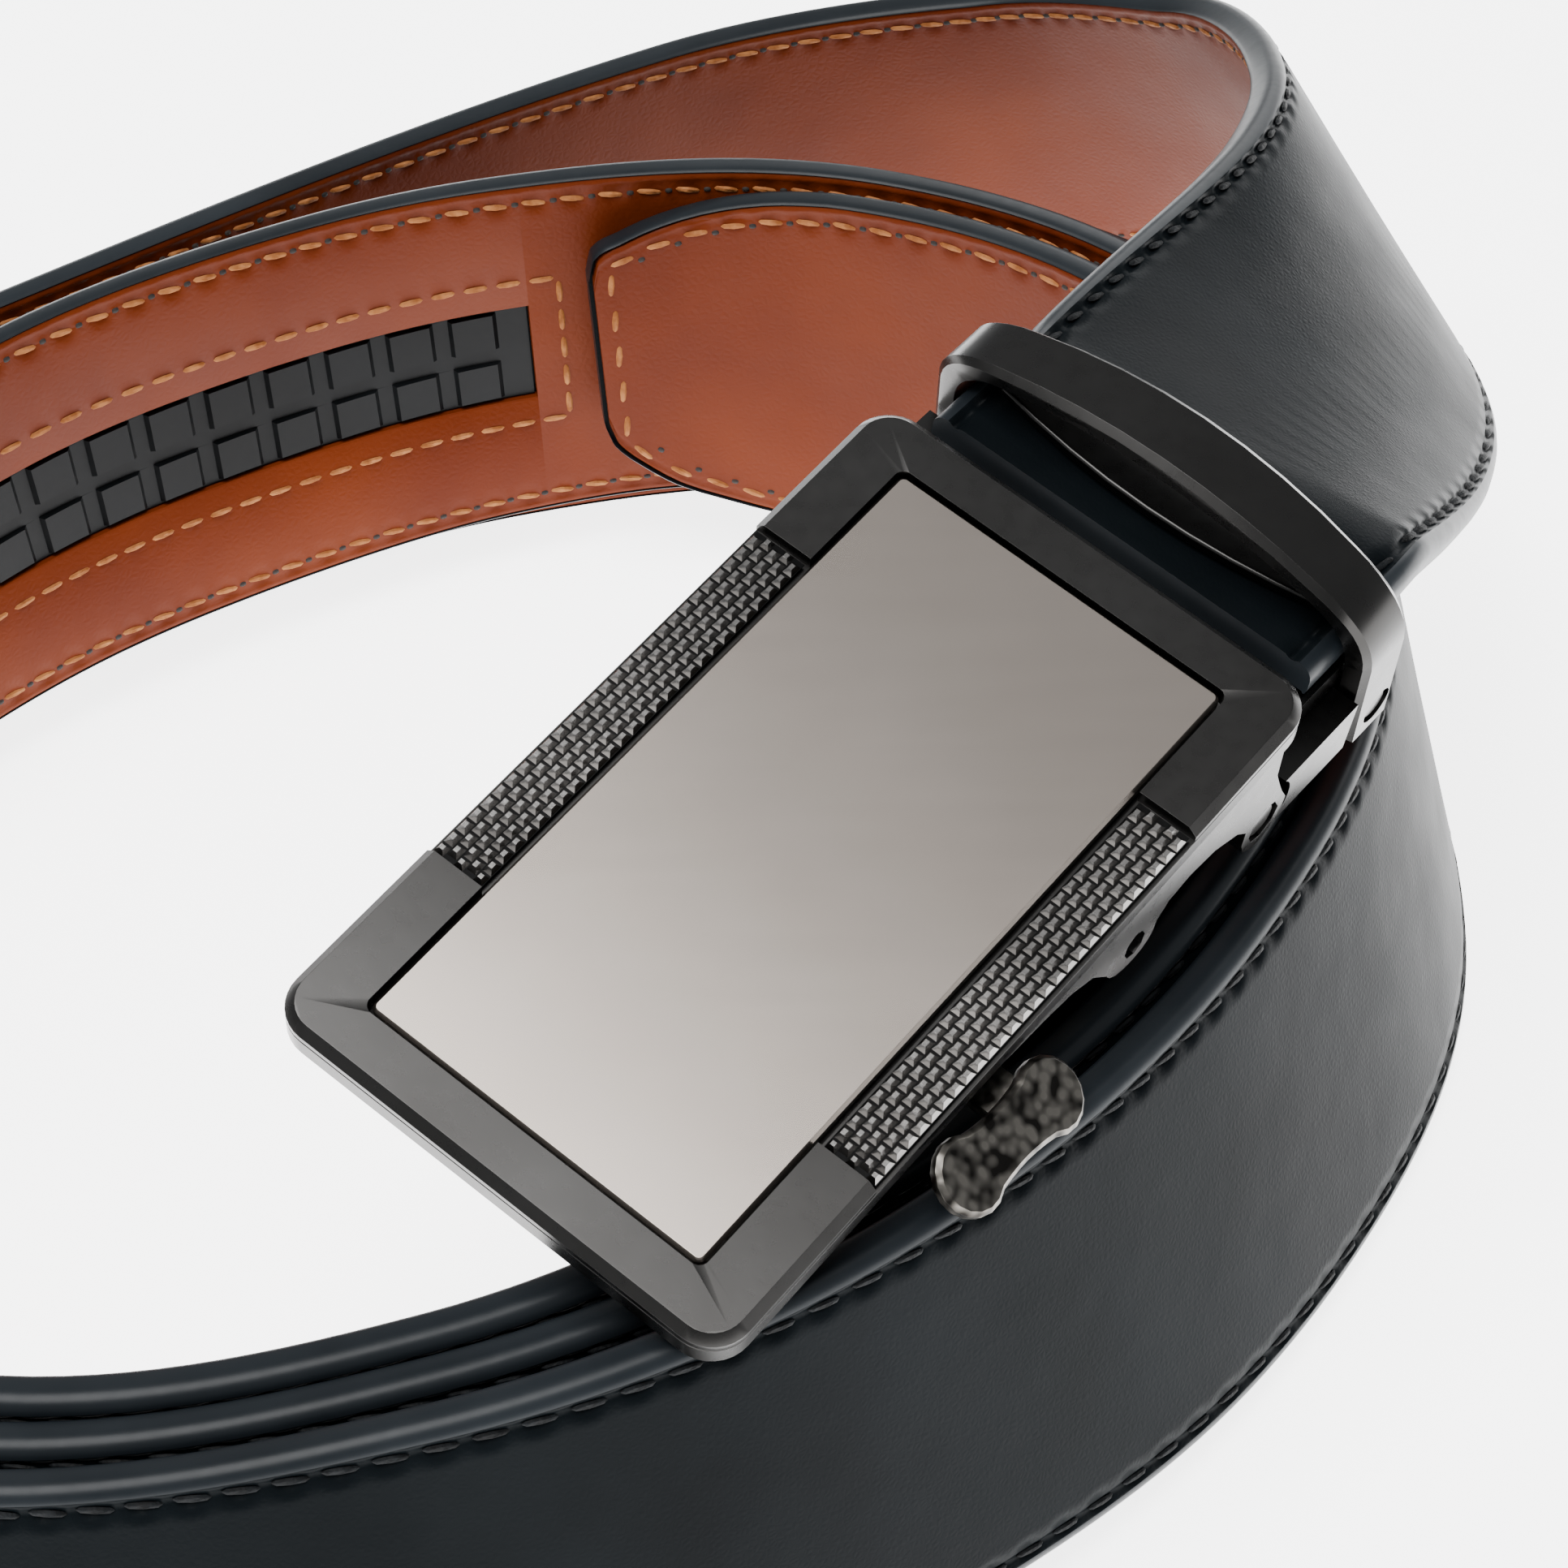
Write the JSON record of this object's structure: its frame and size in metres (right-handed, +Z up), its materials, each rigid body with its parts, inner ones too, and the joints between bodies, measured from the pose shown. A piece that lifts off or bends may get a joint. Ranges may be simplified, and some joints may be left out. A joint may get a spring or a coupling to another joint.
{
  "type": "ratchet belt",
  "caption": "Leather belt coiled on its edge, black outside and tan inside, with a toothed track, a plate-faced automatic buckle, a release lever and a keeper loop",
  "frame": {"origin": "under the middle of the belt's bounding box, on the surface that the coil stands on", "axes": "+Z up out of the coil, +Y towards the back of the coil as the picture shows it, +X to the picture's right"},
  "size_m": [0.1728, 0.1912, 0.0636],
  "materials": {
    "black_leather": "smooth glossy black leather with stitched edges",
    "tan_leather": "smooth tan lining leather",
    "track_plastic": "black moulded plastic",
    "gunmetal": "satin gunmetal plating over cast zinc alloy",
    "satin_plate": "satin champagne-silver plate with a bright chamfer",
    "knurled_metal": "blackened metal, knurled in small pyramids",
    "lever_metal": "antique gunmetal with a pebbled pad"
  },
  "bodies": {
    "strap": {"strap_outer": "black_leather", "strap_lining": "tan_leather", "ratchet_track": "track_plastic", "clamp": "gunmetal", "clamp_plate": "gunmetal", "keeper_loop": "gunmetal", "keeper_screw_left": "gunmetal", "keeper_screw_right": "gunmetal"},
    "buckle": {"buckle_frame": "gunmetal", "face_plate": "satin_plate", "knurl_strip_left": "knurled_metal", "knurl_strip_right": "knurled_metal", "hinge_pin": "gunmetal", "lever_pin": "gunmetal"},
    "lever": {"release_lever": "lever_metal"}
  },
  "joints": [
    {"name": "buckle_hinge", "type": "hinge", "parent": "strap", "child": "buckle", "pos_m": [0.04291, -0.02087, 0.04572], "axis": [-0.7419, 0.6183, 0.2593], "range_deg": [0, 18]},
    {"name": "lever_hinge", "type": "hinge", "parent": "buckle", "child": "lever", "pos_m": [0.03249, -0.03348, 0.04599], "axis": [-0.7419, 0.6183, 0.2593], "range_deg": [0, 6], "stiffness_Nm_per_rad": 0.05, "springref_deg": -5.73}
  ]
}
